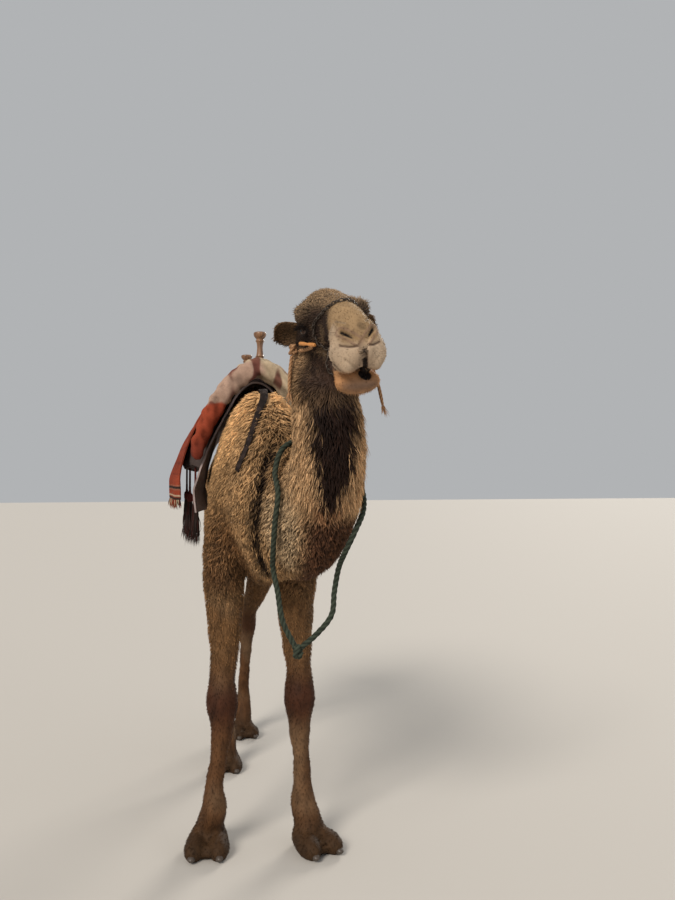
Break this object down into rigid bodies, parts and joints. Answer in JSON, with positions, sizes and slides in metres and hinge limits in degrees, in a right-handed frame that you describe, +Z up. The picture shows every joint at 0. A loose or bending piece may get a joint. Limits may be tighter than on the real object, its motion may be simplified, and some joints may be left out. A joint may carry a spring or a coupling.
{
  "type": "dromedary camel",
  "caption": "Life-size still model of a standing, saddled dromedary with woolly coat, wooden riding saddle, rugs, halter and neck rope.",
  "frame": {"origin": "on the floor under the middle of the whole model's box", "axes": "+X the camel's left, -Y the way it faces, +Z up"},
  "size_m": [0.7718, 2.6242, 2.1726],
  "materials": {
    "coat": "matt woolly coat",
    "eye": "polished",
    "felt": "matt felt",
    "rug": "woven wool",
    "padding": "woven wool, stuffed",
    "wood": "turned, worn",
    "strap": "woven webbing",
    "rope": "twisted rope",
    "neck_rope": "twisted rope",
    "iron": "worn chain",
    "toggle": "worn orange peg",
    "tassel": "wool yarn"
  },
  "bodies": {
    "root": {"ear_left": "coat", "ear_right": "coat", "eye_left": "eye", "eye_right": "eye", "front_left_foot": "coat", "front_left_lower": "coat", "front_left_upper": "coat", "front_right_foot": "coat", "front_right_lower": "coat", "front_right_upper": "coat", "halter_cheek_left": "rope", "halter_cheek_right": "rope", "halter_end_left": "rope", "halter_end_right": "rope", "halter_headrope": "rope", "halter_knot_left": "rope", "halter_knot_right": "rope", "halter_noseband": "iron", "halter_toggle": "toggle", "head": "coat", "hind_left_foot": "coat", "hind_left_lower": "coat", "hind_left_upper": "coat", "hind_right_foot": "coat", "hind_right_lower": "coat", "hind_right_upper": "coat", "neck": "coat", "neck_rope": "neck_rope", "neck_rope_knot": "neck_rope", "saddle_arch_front": "wood", "saddle_arch_rear": "wood", "saddle_felt": "felt", "saddle_girth": "strap", "saddle_pad_left": "padding", "saddle_pad_right": "padding", "saddle_post_front": "wood", "saddle_post_rear": "wood", "saddle_roll": "padding", "saddle_rug": "rug", "shoulder_strap": "strap", "tail": "coat", "tassel_left_1": "tassel", "tassel_left_2": "tassel", "tassel_left_3": "tassel", "tassel_right_1": "tassel", "tassel_right_2": "tassel", "tassel_right_3": "tassel", "trunk": "coat"}
  },
  "joints": []
}
